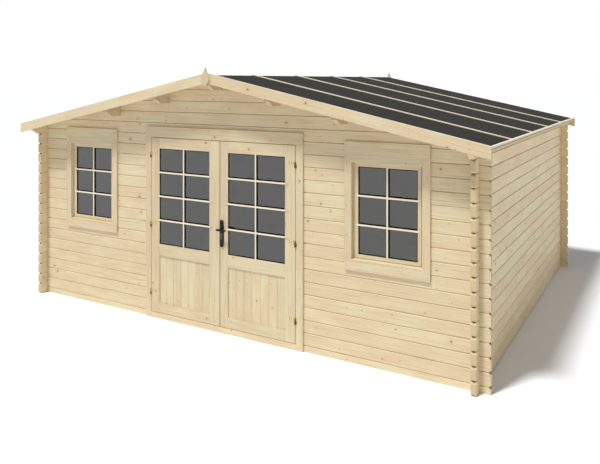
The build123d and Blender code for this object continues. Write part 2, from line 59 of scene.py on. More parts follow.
# Sizes of the solids, in metres
SEAT = 0.0003
COURSE = 0.114
HALF_COURSE = COURSE / 2
WALL_HALF_WIDTH = 2.5
WALL_HALF_DEPTH = 2.035
SIDE_LOG_MIDDLE = 2.478
ROOF_ANGLE = math.radians(11.93)
ROOF_SLOPE = math.tan(ROOF_ANGLE)
BATTEN_HALF = 0.0125
BATTEN_PITCH = 0.889
PANEL_BOARDS = 7
LEAF_GAP = 0.005
HEAD_STOP = 0.0226
GLASS_IN_GROOVE = 0.0077
BAR_HALF = 0.0076
WINDOW_SIDE = 0.067
WINDOW_FOOT = 0.09
WINDOW_HEAD = 0.1072
SASH_HEAD = 0.182
SASH_BEHIND_PANE = 0.011
KNUCKLE = 0.026
STRAP = 0.034
PIN_RADIUS = 0.007
PIN_STANDOFF = 0.008
MIDDLE_HINGE = 0.95515
LOCK_HEIGHT = 0.931

# Faces that the frame gives
LEAF_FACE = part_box("door_casing")[0].y
LEAF_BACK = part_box("right_door_frame")[1].y
CASING_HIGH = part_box("door_casing")[1]
SASH_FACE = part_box("right_window_bars")[1].y + SEAT
SASH_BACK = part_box("right_window_glass")[1].y + SASH_BEHIND_PANE
PLATE_LOW, PLATE_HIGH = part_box("handle_plates")

# Knots: how far apart their places are along a board, and the share of places that has one
KNOTS = (0.47, 0.5)
PIN_KNOTS = (0.29, 0.42)

# Heads of screws and nails, in shares of their radius: how far out, and how high
SCREW_HEAD = (0, 0.10), (0.30, 0.10), (0.36, 0.42), (0.72, 0.30), (0.94, 0.12), (1, 0)
NAIL_HEAD = (0, 0.22), (0.55, 0.28), (0.92, 0.22), (1, 0)

# Grain: the scale of a noise along the board and across it, and its detail
SLOW_GRAIN = (0.9, 9.0, 2.0)
STREAKS = (2.2, 120.0, 3.0)
FIBRES = (11.0, 420.0, 2.0)
PATCHES = (2.6, 7.0, 2.0)
GRAIN_WAVES = 52.0

# Yearly rings on the ends: how far the heart lies from the middle, and how close the rings are
HEART = (0.021, 0.013)
RING_SCALE = 1500.0

# The shade of the laps of glazing bars, which is that of the stiles
LAP_SHADE = 0.89

# Lamps: which way they shine. Camera: where it stands and how it looks
SUN_WAY = (0.185, 0.43, -1.0)
FILL_WAY = (-1.0, 0.1, -0.1)
FILL_WIDTH = 1.2
FLOOR_RADIUS = 220.0
CAMERA_PLACE = (3.848, -7.178, 2.427)
CAMERA_TURN = math.radians(29.87)
FOCAL_LENGTH = 39.63
FILM_WIDTH = 36.0
LENS_SHIFT = -0.2526
FAR_LIMIT = 500.0


def tone(red, green, blue):
    """A colour given on the usual scale of 0 to 255, as the linear numbers that materials use."""
    scaled = [channel / 255 for channel in (red, green, blue)]
    return tuple(c / 12.92 if c <= 0.04045 else ((c + 0.055) / 1.055) ** 2.4 for c in scaled)


def colour(name, description, default):
    return FloatVectorProperty(
        name=name, description=description, default=default, size=3, subtype="COLOR", min=0.0, max=1.0
    )


def length(name, description, default):
    return FloatProperty(
        name=name, description=description, default=default, unit="LENGTH", min=0.0, precision=4
    )


def strength(name, description, default):
    return FloatProperty(name=name, description=description, default=default, min=0.0)


# Properties


class CabinColours(bpy.types.PropertyGroup):
    yellow_wood: colour("Yellow wood", "The straw tone of planed spruce", tone(233, 219, 181))
    pink_wood: colour("Pink wood", "The warmer tone that runs through the boards", tone(229, 207, 170))
    late_wood: colour("Late wood", "The darker lines of the grain", tone(205, 176, 128))
    knot: colour("Knot", "The middle of a knot", tone(122, 84, 48))
    knot_edge: colour("Knot edge", "The wood that flows round a knot", tone(200, 162, 110))
    end_wood: colour("End wood", "The sawn ends of logs and boards", tone(212, 195, 155))
    # Painted shadow: the colour that the upward bevels of the vees at the log tips are darkened towards.
    vee_shadow_wood: colour("Shaded wood", "Sawn bevels on the tips of the logs", tone(104, 80, 50))
    felt: colour("Felt", "Mineral roofing felt", tone(36, 34, 31))
    felt_grit: colour("Felt grit", "The lighter grains on the felt", tone(74, 70, 62))
    glass: colour("Glass", "Tint of the panes", (0.20, 0.20, 0.195))
    brass: colour("Brass", "Yellow plating of the hinges", tone(224, 206, 150))
    black: colour("Black fittings", "Coated handle and plates", tone(20, 16, 13))
    # Also painted over the knuckles of the leaf hinges as painted shade.
    dark_brass: colour("Dark brass", "Screws, pins and pin caps of the hinges", tone(112, 92, 50))
    steel: colour("Steel", "Nail heads", tone(150, 146, 138))
    cylinder: colour("Lock cylinder", "Dull metal of the lock", tone(96, 94, 94))
    # Also the colour of the painted shade round the panes and behind the bars, and of the painted shadow
    # gap round the window beads.
    seal: colour("Glazing seal", "Dark strip round the panes", tone(26, 22, 16))
    pale_wood: colour("Pale wood", "Sapwood of the thin strips", tone(238, 229, 205))
    # Painted highlight: the colour towards which the upward faces of the battens, eaves strips and gable
    # boards are lightened.
    painted_highlight_colour: colour("Upper edges", "Freshly planed upper edges of roof boards", tone(254, 247, 228))
    floor: colour("Studio floor", "Pale floor of the stage", (0.93, 0.95, 1.0))


class CabinSizes(bpy.types.PropertyGroup):
    soft_edge: length("Soft edge", "Rounding on the edges of planed wood", 0.0015)
    lever_round: length("Lever rounding", "Rounding on the edges of the lever", 0.0045)
    plate_round: length("Plate rounding", "Rounding on the edges of the plates", 0.0012)
    hinge_round: length("Hinge rounding", "Rounding on the edges of the hinges", 0.0006)
    knot_size: length("Knot size", "Usual radius of a knot", 0.0061)
    joint_line: length("Joint line", "Width of the dark line between two boards", 0.0022)
    roof_board: length("Roof board", "Cover width of a roof board", 0.096)
    floor_board: length("Floor board", "Cover width of a floor board", 0.112)
    nail_head: length("Nail head", "Radius of a nail head", 0.0032)
    screw_head: length("Screw head", "Radius of a screw head", 0.0042)
    # The seal is partly a real glazing seal and partly painted shade where the pane meets its opening.
    seal: length("Seal", "Width of the glazing seal that shows round a pane", 0.008)
    # Painted shade and reflection: how far the dark strips behind the bars show on the pane.
    bar_shade_across: length("Spacer across", "How far the strip behind an upright bar shows", 0.011)
    bar_shade_up: length("Spacer up", "How far the strip behind a level bar shows", 0.012)
    bead_width: length("Bead width", "Width of the bead round a window pane", 0.030)
    bead_rise: length("Bead rise", "How far the bead stands out from the sash", 0.003)


class CabinLight(bpy.types.PropertyGroup):
    sun: strength("Sun", "Strength of the main lamp", 2.8)
    softness: FloatProperty(
        name="Softness", description="Width of the main lamp", default=0.15, subtype="ANGLE", min=0.0
    )
    fill: strength("Fill", "Strength of the low lamp on the right", 0.43)
    sky: strength("Sky", "Strength of the even light from all round", 0.24)


# Materials


class Value:
    """A socket of a material. Sums and products of it add the nodes they need."""

    def __init__(self, paint, socket):
        self.paint = paint
        self.socket = socket

    def __add__(self, other):
        return self.paint.maths("ADD", self, other)

    def __radd__(self, other):
        return self.paint.maths("ADD", other, self)

    def __sub__(self, other):
        return self.paint.maths("SUBTRACT", self, other)

    def __rsub__(self, other):
        return self.paint.maths("SUBTRACT", other, self)

    def __mul__(self, other):
        return self.paint.maths("MULTIPLY", self, other)

    def __rmul__(self, other):
        return self.paint.maths("MULTIPLY", other, self)

    def __truediv__(self, other):
        return self.paint.maths("DIVIDE", self, other)

    def __rtruediv__(self, other):
        return self.paint.maths("DIVIDE", other, self)

    def __pow__(self, other):
        return self.paint.maths("POWER", self, other)

    def __rpow__(self, other):
        return self.paint.maths("POWER", other, self)

    def __gt__(self, other):
        return self.paint.maths("GREATER_THAN", self, other)

    def __lt__(self, other):
        return self.paint.maths("LESS_THAN", self, other)

    def __abs__(self):
        return self.paint.maths("ABSOLUTE", self)

    def __floor__(self):
        return self.paint.maths("FLOOR", self)

    def output(self, name):
        """Another output of the same node."""
        return Value(self.paint, self.socket.node.outputs[name])


class Paint:
    """A material being made, or the tree of the world's light."""

    def __init__(self, tree):
        self.tree = tree
        tree.nodes.clear()

    def node(self, kind, settings, sockets, out=0):
        """Add one node: its settings first, then the values or links of its sockets."""
        node = self.tree.nodes.new(kind)
        for name, setting in settings.items():
            setattr(node, name, setting)
        for name, value in sockets.items():
            if isinstance(value, Value):
                self.tree.links.new(value.socket, node.inputs[name])
            else:
                node.inputs[name].default_value = value
        return Value(self, node.outputs[out] if len(node.outputs) else None)

    def maths(self, operation, *values):
        return self.node("ShaderNodeMath", {"operation": operation}, dict(enumerate(values)))

    def vector(self, x, y, z):
        return self.node("ShaderNodeCombineXYZ", {}, {0: x, 1: y, 2: z})

    def split(self, vector):
        x = self.node("ShaderNodeSeparateXYZ", {}, {0: vector})
        return x, x.output("Y"), x.output("Z")

    def mix(self, amount, low, high):
        """Blend two colours."""
        settings = {"data_type": "RGBA", "clamp_factor": True}
        return self.node("ShaderNodeMix", settings, {0: amount, 6: opaque(low), 7: opaque(high)}, 2)

    def scaled(self, shade, amount):
        """A colour made lighter or darker."""
        return self.node("ShaderNodeVectorMath", {"operation": "SCALE"}, {0: shade, "Scale": amount})

    def ease(self, value, low, high):
        """0 below low, 1 above high, and a smooth step between."""
        sockets = {"Value": value, "From Min": low, "From Max": high}
        return self.node("ShaderNodeMapRange", {"interpolation_type": "SMOOTHSTEP"}, sockets)

    def noise(self, x, y, z, detail=2.0):
        sockets = {"Vector": self.vector(x, y, z), "Scale": 1.0, "Detail": detail}
        return self.node("ShaderNodeTexNoise", {"noise_dimensions": "3D"}, sockets)

    def grain(self, u, v, w, scales, shift=0.0):
        """Noise drawn out along a board."""
        along, across, detail = scales
        return self.noise(u * along + shift, v * across, w * across, detail)

    def even(self, point, scale, detail):
        """Noise of one scale all ways."""
        return self.noise(*(place * scale for place in point), detail)

    def chance(self, x, y, z):
        """Three random numbers and a fourth for a whole-number place."""
        value = self.node("ShaderNodeTexWhiteNoise", {"noise_dimensions": "3D"}, {0: self.vector(x, y, z)})
        return (value,) + self.split(value.output("Color"))

    def place(self):
        """The point on the piece, in metres, which moves with the piece."""
        return self.split(self.node("ShaderNodeTexCoord", {}, {}, "Object"))

    def facing(self):
        """The way the surface faces, on the piece's own axes."""
        return self.split(self.node("ShaderNodeTexCoord", {}, {}, "Normal"))

    def bump(self, height, depth, strength=1.0):
        sockets = {"Height": height, "Distance": depth, "Strength": strength}
        return self.node("ShaderNodeBump", {}, sockets)

    def surface(self, **sockets):
        """Finish the material with one shader."""
        named = {name.replace("_", " "): opaque(value) for name, value in sockets.items()}
        shader = self.node("ShaderNodeBsdfPrincipled", {}, named)
        self.node("ShaderNodeOutputMaterial", {}, {"Surface": shader})


def opaque(value):
    """Colours get their fourth number; numbers and links stay as they are."""
    if isinstance(value, (Value, float, int)):
        return value
    return (*value[:3], 1.0)


def new_material(name):
    material = bpy.data.materials.new(name)
    material.use_nodes = True
    return material, Paint(material.node_tree)


def knots(paint, u, off, row, board, kind, size, knotty, seed):
    """Knots scattered along the boards: their core, their halo, and how far across from one a point is."""
    spacing, share = kind
    row_shift, board_shift = 0.77, 1.31
    margin, spread = 0.2, COURSE * 0.72
    oval, smallest, halo_reach = 0.8, 0.45, 2.4
    step = (u + row * row_shift + board * board_shift) / spacing
    cell = math.floor(step)
    there, along, across, big = paint.chance(cell, row, board + seed)
    du = (step - cell - margin - along * (1.0 - 2.0 * margin)) * spacing
    dv = off - (across - 0.5) * spread
    far = (du * du * oval + dv * dv) ** 0.5
    radius = (big * big + smallest) * size
    shown = there < share * knotty
    core = shown * (1.0 - paint.ease(far / radius, 0.75, 1.1))
    near = far / (radius * halo_reach)
    halo = shown / (near * near * near * near + 1.0)
    return core, halo, dv * halo


def wood(
    name, lay, shade=1.0, joints=0.0, knotty=1.0, seed=0.0, pale=0.0, top_highlight=0.0, vees=None, bare=None
):
    """Planed spruce. lay takes the point and gives the place along the grain, across it, into it, the
    board's number, the cover width of the boards, where they start, and how much the surface is an end of
    the grain. joints darkens the lines between boards, and knotty is the share of the usual knots. pale
    lightens the whole, and the weight after it paints a highlight on the upward faces. vees marks the tips
    of logs and paints shadow into the vees sawn into them, and bare gives 1 where pale and shade hold."""
    scene = bpy.context.scene
    colours, sizes = scene.cabin_colours, scene.cabin_sizes
    material, paint = new_material(name)
    point = x, y, z = paint.place()
    u, v, w, board, pitch, start, end = lay(x, y, z, paint.facing())
    row = math.floor((v - start) / pitch)
    off = v - start - (row + 0.5) * pitch
    lean, red, light, _ = paint.chance(board, row * (1.0 if joints else 0.0), seed)
    u = u + lean * 9.0

    # Knots, and the grain that flows round them
    core, halo, pull = knots(paint, u, off, row, board, KNOTS, sizes.knot_size, knotty, seed)
    small, ring, tug = knots(
        paint, u, off, row, board, PIN_KNOTS, sizes.knot_size * 0.5, knotty, seed + 5.0
    )
    flow = v + (pull + tug) * 0.55
    slow = paint.grain(u, flow, w, SLOW_GRAIN, red * 7.0)
    waves = paint.maths("SINE", (flow * GRAIN_WAVES + slow * 5.0) * (2.0 * math.pi))
    streaks = paint.grain(u, flow, w, STREAKS)
    fibres = paint.grain(u, flow, w, FIBRES)
    patches = paint.grain(u, v, w, PATCHES, 31.0)
    lines = paint.ease(streaks + waves * 0.05, 0.46, 0.74)
    reddish = paint.ease(patches + red * 0.22, 0.42, 0.78)
    base = paint.mix(reddish, colours.yellow_wood, colours.pink_wood)
    base = paint.mix(lines * 0.50 + paint.ease(fibres, 0.5, 0.8) * 0.22, base, colours.late_wood)
    base = paint.mix(halo * 0.36 + ring * 0.2, base, colours.knot_edge)
    base = paint.mix(core * 0.85 + small * 0.75, base, colours.knot)

    # Sawn ends with their yearly rings
    from_heart = ((off + HEART[0]) ** 2.0 + (w + HEART[1]) ** 2.0) ** 0.5
    rings = paint.maths("SINE", from_heart * RING_SCALE + slow * 6.0)
    cut = paint.mix(rings * 0.16 + 0.2, colours.end_wood, colours.late_wood)
    base = paint.mix(paint.ease(end, 0.6, 0.8), base, cut)

    # Lighter and darker parts
    if bare:
        free = bare(x, z)
        pale, shade = free * pale, free * (shade - LAP_SHADE) + LAP_SHADE
    if pale:
        base = paint.mix(pale, base, colours.pale_wood)
    # Painted highlight: upward faces are lightened towards a near-white colour, as if lit from above.
    if top_highlight:
        upward = paint.ease(paint.facing()[2], 0.8, 0.95)
        base = paint.mix(upward * top_highlight, base, colours.painted_highlight_colour)
    tinted = paint.scaled(base, (light * 0.07 + 0.955) * shade)
    if vees:
        tip, vee_shadow = vees(paint, x, y, z, paint.facing())
        speckle = paint.even(point, 240.0, 3.0)
        tinted = paint.mix(tip * paint.ease(speckle, 0.45, 0.75) * 0.3, tinted, colours.late_wood)
        # Painted shadow in the vees sawn into the log tips.
        tinted = paint.mix(vee_shadow * 0.8, tinted, colours.vee_shadow_wood)
    height = streaks * 0.5 + fibres * 0.35 - core * 0.6 + waves * 0.08
    if joints:
        edge = pitch * 0.5 - abs(off)
        line = 1.0 - paint.ease(edge, sizes.joint_line * 0.3, sizes.joint_line)
        tinted = paint.scaled(tinted, 1.0 - line * joints)
        height = height - line * 3.0
    paint.surface(
        Base_Color=tinted,
        Roughness=streaks * 0.16 + 0.5,
        Specular_IOR_Level=0.32,
        Normal=paint.bump(height, 0.0006, 0.6),
    )
    return material


# How the boards of each part lie. What is added to a board's number keeps the boards of one side unlike
# those of the other.


def front_logs(x, y, z, facing):
    """Logs along the front and back walls."""
    number = math.floor((z - HALF_COURSE) / COURSE) + (y > 0.0) * 40.0
    return x, z, y, number, COURSE, HALF_COURSE, abs(facing[0])


def side_logs(x, y, z, facing):
    """Logs along the side walls."""
    return y, z, x, math.floor(z / COURSE) + (x > 0.0) * 40.0, COURSE, 0.0, abs(facing[1])


def purlin_lay(x, y, z, facing):
    half_step = 0.33
    return y, x, z, math.floor(x / half_step), COURSE, 0.0, abs(facing[1])


def strip_lay(x, y, z, facing):
    return y, x, z, x > 0.0, COURSE, 0.0, abs(facing[1])


def level_boards(pitch):
    """Boards that run from side to side, one beside the other."""
    return lambda x, y, z, facing: (x, y, z, math.floor(y / pitch), pitch, 0.0, abs(facing[0]))


def batten_lay(x, y, z, facing):
    step = 0.4
    number = math.floor(y / step) + (x > 0.0) * 20.0
    return x, z, y, number, COURSE, 0.0, abs(facing[0])


def fascia_lay(x, y, z, facing):
    """Boards that follow the slope of the roof."""
    level = z + abs(x) * ROOF_SLOPE
    return x, level, y, (x > 0.0) * 3.0 + (y > 0.0) * 7.0, COURSE, 0.03, abs(facing[0])


def upright_lay(x, y, z, facing):
    return z, x, y, y > 0.0, COURSE, -HALF_COURSE, abs(facing[2])


def panel_lay(x, y, z, facing):
    """Narrow upright boards of a door panel."""
    low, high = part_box("right_door_panel")
    pitch = (high.x - low.x) / PANEL_BOARDS
    return z, x, y, math.floor(x / pitch) + 60.0, pitch, low.x % pitch, abs(facing[2])


def framed_lay(upright):
    """Joinery in which some members stand and some lie; upright gives 1 where the grain runs upwards."""

    def lay(x, y, z, facing):
        up = upright(x, z)
        u = x + up * (z - x)
        v = z + up * (x - z)
        board = up * (x * 2.0) + (1.0 - up) * (z * 2.0)
        end = abs(facing[0]) + up * (abs(facing[2]) - abs(facing[0]))
        return u, v, y, math.floor(board) + (y > LEAF_BACK) * 11.0, COURSE, 0.02, end

    return lay


def tips_on(axis, corner, start, middle=None):
    """The tips that stand past a corner of the walls, and a painted shadow on the upward bevels of the
    vees sawn into them beside each joint. Where the middle of the tips is given, the painted shadow is
    strongest near it."""
    dark, tall, wide = 0.008, 0.02, 0.024

    def vees(paint, x, y, z, facing):
        past = abs((x, y)[axis]) > corner
        slanted = abs(facing[axis]) * abs(facing[2])
        course = (z - start) / COURSE
        away = (0.5 - abs(course - math.floor(course) - 0.5)) * COURSE
        # Painted shadow on the upward bevels of the vees, near each joint.
        vee_shadow = past * (facing[2] > 0.0) * paint.ease(slanted, 0.2, 0.45)
        vee_shadow = vee_shadow * (1.0 - paint.ease(away, dark, tall))
        if middle:
            vee_shadow = vee_shadow * (1.0 - paint.ease(abs(abs(x) - middle) + away, dark, wide))
        return past, vee_shadow

    return vees


def pane(unit):
    """The middle, half width, foot and head of the glass that shows in a leaf or sash."""
    low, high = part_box(f"{unit}_glass")
    reach = (high.x - low.x) / 2 - GLASS_IN_GROOVE
    return (low.x + high.x) / 2, reach, low.z + GLASS_IN_GROOVE, high.z - GLASS_IN_GROOVE


def within(middle, reach):
    """1 nearer than reach to a middle line."""
    return lambda x, z: abs(x - middle) < reach


def beyond(middle, reach, foot=None, head=None):
    """1 further than reach from a middle line and, where they are given, above foot and below head."""

    def region(x, z):
        beside = abs(x - middle) > reach
        return beside if foot is None else beside * (z > foot) * (z < head)

    return region


def dress(material, *nodes, edge=None, steps=2):
    """Give CAD nodes their finish, and round their edges a little."""
    for name in nodes:
        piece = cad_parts[name]
        piece.material_slots[0].material = material
        if edge:
            weld = piece.modifiers.new("joined_edges", "WELD")
            weld.merge_threshold = SAME_POINT
            bevel = piece.modifiers.new("soft_edges", "BEVEL")
            bevel.width = edge
            bevel.segments = steps
            bevel.limit_method = "ANGLE"
            bevel.angle_limit = SHARP_ANGLE
            bevel.use_clamp_overlap = True


def metal(name, shade, roughness, metallic, gloss=0.5, past=None, painted_shade=None):
    """Metal or coated metal with fine scratches and slight stains. Where past is given, it takes a darker
    colour as painted shade further than that from the middle of the front, over the knuckles of hinges."""
    material, paint = new_material(name)
    point = x, y, z = paint.place()
    # Painted shade: the colour turns darker beyond past.
    if past:
        shade = paint.mix(abs(x) > past, shade, painted_shade)
    stains = paint.even(point, 60.0, 4.0)
    hairs = paint.noise(x * 900.0, y * 900.0, z * 90.0, 2.0)
    paint.surface(
        Base_Color=paint.scaled(shade, stains * 0.5 + 0.75),
        Metallic=metallic,
        Roughness=stains * 0.22 + hairs * 0.08 + roughness,
        Specular_IOR_Level=gloss,
        Normal=paint.bump(hairs * 0.4 + stains, 0.0002, 0.5),
    )
    return material


# Meshes


def bridge(bm, rings):
    """Join rings of as many points with faces."""
    for low, high in zip(rings, rings[1:]):
        for step in range(len(low)):
            after = (step + 1) % len(low)
            bm.faces.new((low[step], low[after], high[after], high[step]))


def add_turned(bm, centre, axis, shape, segments=14):
    """Turn a shape of radius and height pairs about an axis."""
    turn = Vector(axis).to_track_quat("Z", "Y").to_matrix().to_4x4()
    place = Matrix.Translation(centre) @ turn
    rings = []
    for radius, height in shape:
        if radius == 0:
            rings.append([bm.verts.new(place @ Vector((0, 0, height)))])
            continue
        ring = []
        for step in range(segments):
            angle = 2 * math.pi * step / segments
            spot = Vector((radius * math.cos(angle), radius * math.sin(angle), height))
            ring.append(bm.verts.new(place @ spot))
        rings.append(ring)
    for inner, outer in zip(rings, rings[1:]):
        for step in range(segments):
            after = (step + 1) % segments
            if len(inner) == 1:
                bm.faces.new((inner[0], outer[step], outer[after]))
            elif len(outer) == 1:
                bm.faces.new((inner[step], outer[0], inner[after]))
            else:
                bm.faces.new((inner[step], outer[step], outer[after], inner[after]))


def add_plate(bm, outline, thickness, place, edge=0.0004):
    """A flat shape with bevelled front edges; its outline lies in the place's X and Y."""
    back = [bm.verts.new(place @ Vector((px, py, 0))) for px, py in outline]
    middle = Vector((sum(p[0] for p in outline), sum(p[1] for p in outline))) / len(outline)
    rims = [back]
    for inset, height in ((0.0, thickness - edge), (edge, thickness)):
        ring = []
        for point in outline:
            away = Vector(point) - middle
            inner = Vector(point) - away.normalized() * inset
            ring.append(bm.verts.new(place @ Vector((inner.x, inner.y, height))))
        rims.append(ring)
    bridge(bm, rims)
    bm.faces.new(rims[-1])
    bm.faces.new(back[::-1])


def corners(x, z):
    """The corners of an upright rectangle, each with the way to the inside."""
    return ((x[0], z[0], 1, 1), (x[1], z[0], -1, 1), (x[1], z[1], -1, -1), (x[0], z[1], 1, -1))


def add_border(bm, x, z, y, width):
    """A mitred strip round the inside of an upright rectangle."""
    rings = []
    for px, pz, right, up in corners(x, z):
        inner_x, inner_z = px + right * width, pz + up * width
        section = (
            (px, y[1], pz),
            (px, y[0], pz),
            (inner_x, (y[0] + y[1]) / 2, inner_z),
            (inner_x, y[1], inner_z),
        )
        rings.append([bm.verts.new(point) for point in section])
    bridge(bm, rings + rings[:1])


def add_slab(bm, x, z, y, edge=0.0004):
    """A flat strip with its front edges taken off a little."""
    rims = []
    for depth, inset in ((y[1], 0.0), (y[0] + edge, 0.0), (y[0], edge)):
        places = [(px + right * inset, depth, pz + up * inset) for px, pz, right, up in corners(x, z)]
        rims.append([bm.verts.new(place) for place in places])
    bridge(bm, rims)
    bm.faces.new(rims[-1])
    bm.faces.new(rims[0][::-1])


def new_piece(name, bm, material, body, smooth=True):
    """Make one object from a mesh under construction, and fix it to its body."""
    bmesh.ops.recalc_face_normals(bm, faces=bm.faces)
    mesh = bpy.data.meshes.new(name)
    bm.to_mesh(mesh)
    bm.free()
    mesh.materials.append(material)
    for face in mesh.polygons:
        face.use_smooth = smooth
    piece = bpy.data.objects.new(name, mesh)
    bpy.context.scene.collection.objects.link(piece)
    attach(piece, body)
    return piece


def profile(shape, radius):
    return [(radius * across, radius * rise) for across, rise in shape]


# Operators


class CABIN_OT_log_walls(bpy.types.Operator):
    """Give the log walls and gables their knotty spruce"""

    bl_idname = "cabin.log_walls"
    bl_label = "Log Walls"

    def execute(self, context):
        soft = context.scene.cabin_sizes.soft_edge
        # The log tips get a painted shadow in their vees.
        front_tips = tips_on(0, WALL_HALF_WIDTH, HALF_COURSE)
        across = wood("front_log_spruce", front_logs, joints=0.2, vees=front_tips)
        dress(across, "front_wall_left", "front_wall_right", "front_base_log", "back_wall", edge=soft)
        dress(across, "front_gable", "back_gable", edge=soft)
        side_tips = tips_on(1, WALL_HALF_DEPTH, 0.0, SIDE_LOG_MIDDLE)
        along = wood("side_log_spruce", side_logs, joints=0.5, seed=3.0, vees=side_tips)
        dress(along, "left_wall", "right_wall", edge=soft)
        return {"FINISHED"}


class CABIN_OT_roof_timber(bpy.types.Operator):
    """Give the purlins, roof boards, battens, eaves strips, gable boards and finials their wood"""

    bl_idname = "cabin.roof_timber"
    bl_label = "Roof Timber"

    def execute(self, context):
        sizes = context.scene.cabin_sizes
        soft = sizes.soft_edge
        # The purlins are darkened as painted shade, for their ends under the eaves.
        dress(wood("purlin_spruce", purlin_lay, shade=0.84, seed=11.0), "roof_purlins", edge=soft)
        boards = wood("roof_board_spruce", level_boards(sizes.roof_board), joints=0.4, seed=12.0)
        dress(boards, "roof_boards_left", "roof_boards_right")
        # Battens, eaves strips and gable boards get a painted highlight on their upward faces.
        battens = wood(
            "batten_spruce", batten_lay, shade=1.08, knotty=0.4, seed=13.0, pale=0.8, top_highlight=0.9
        )
        dress(battens, "roof_battens", edge=soft)
        strips = wood("eaves_spruce", strip_lay, knotty=0.6, seed=14.0, pale=0.5, top_highlight=0.8)
        dress(strips, "eaves_strips", edge=soft)
        gable_boards = wood("gable_board_spruce", fascia_lay, knotty=1.3, seed=15.0, top_highlight=1.0)
        dress(gable_boards, "front_fascia", "back_fascia", edge=soft)
        finials = wood("finial_spruce", upright_lay, shade=0.93, knotty=0.4, seed=16.0)
        dress(finials, "front_finial", "back_finial", edge=soft)
        return {"FINISHED"}


class CABIN_OT_roof_felt(bpy.types.Operator):
    """Give the roof its dark mineral felt"""

    bl_idname = "cabin.roof_felt"
    bl_label = "Roof Felt"

    def execute(self, context):
        colours = context.scene.cabin_colours
        material, paint = new_material("mineral_felt")
        point = x, y, z = paint.place()
        grit = paint.even(point, 900.0, 1.0)
        clumps = paint.even(point, 70.0, 4.0)
        cloud = paint.noise(x * 1.7, y * 3.1, z * 2.0, 3.0)
        ripple = paint.noise(x * 1.2, y * 9.0, 3.0, 1.0)
        base = paint.mix(paint.ease(grit, 0.56, 0.70) * 0.5, colours.felt, colours.felt_grit)
        base = paint.scaled(base, cloud * 0.26 + clumps * 0.7 + 0.52)
        height = grit * 0.6 + clumps * 0.8 + ripple * 4.0
        paint.surface(
            Base_Color=base,
            Roughness=clumps * 0.12 + 0.84,
            Specular_IOR_Level=0.12,
            Normal=paint.bump(height, 0.0007, 0.7),
        )
        dress(material, "roof_felt_left", "roof_felt_right")
        return {"FINISHED"}


class CABIN_OT_floor(bpy.types.Operator):
    """Give the floor its boards and joists"""

    bl_idname = "cabin.floor"
    bl_label = "Floor"

    def execute(self, context):
        pitch = context.scene.cabin_sizes.floor_board
        dress(wood("floor_board_spruce", level_boards(pitch), joints=0.4, seed=21.0), "floor_boards")
        dress(wood("joist_spruce", strip_lay, shade=0.9, seed=22.0), "floor_joists")
        return {"FINISHED"}


class CABIN_OT_doorway(bpy.types.Operator):
    """Give the doorway its frame, casings and sill"""

    bl_idname = "cabin.doorway"
    bl_label = "Doorway"

    def execute(self, context):
        soft = context.scene.cabin_sizes.soft_edge
        leaf_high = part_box("right_door_frame")[1]
        clear_top = leaf_high.z + LEAF_GAP
        clear_half = leaf_high.x + LEAF_GAP

        def frame_posts(x, z):
            below_stop = z < clear_top - HEAD_STOP
            return (z < clear_top) * (below_stop + (abs(x) > clear_half))

        casing = framed_lay(lambda x, z: z < clear_top)
        dress(wood("casing_spruce", casing, shade=0.94, knotty=0.5, seed=31.0), "door_casing", edge=soft)
        posts = framed_lay(frame_posts)
        dress(wood("door_frame_spruce", posts, knotty=0.5, seed=32.0), "door_frame", edge=soft)
        level = framed_lay(lambda x, z: 0.0)
        dress(wood("sill_spruce", level, seed=33.0), "door_sill", edge=soft)
        return {"FINISHED"}


class CABIN_OT_door_leaves(bpy.types.Operator):
    """Give both door leaves their stiles, rails, boarded panels and glazing bars"""

    bl_idname = "cabin.door_leaves"
    bl_label = "Door Leaves"

    def execute(self, context):
        soft = context.scene.cabin_sizes.soft_edge
        for side, seed in (("left", 41.0), ("right", 44.0)):
            middle, reach, _, _ = pane(f"{side}_door")
            timber = framed_lay(beyond(middle, reach))
            stiles = wood(f"{side}_leaf_spruce", timber, shade=0.91, knotty=0.5, seed=seed)
            dress(stiles, f"{side}_door_frame", edge=soft)
            bars = wood(
                f"{side}_leaf_bar_spruce",
                framed_lay(within(middle, BAR_HALF)),
                shade=1.09,
                knotty=0.0,
                seed=seed + 1.0,
                pale=0.75,
                bare=within(middle, reach + 0.004),
            )
            dress(bars, f"{side}_door_bars", edge=soft)
        panels = wood("panel_spruce", panel_lay, shade=0.94, knotty=1.5, seed=47.0)
        dress(panels, "left_door_panel", "right_door_panel", edge=soft * 0.5)
        return {"FINISHED"}


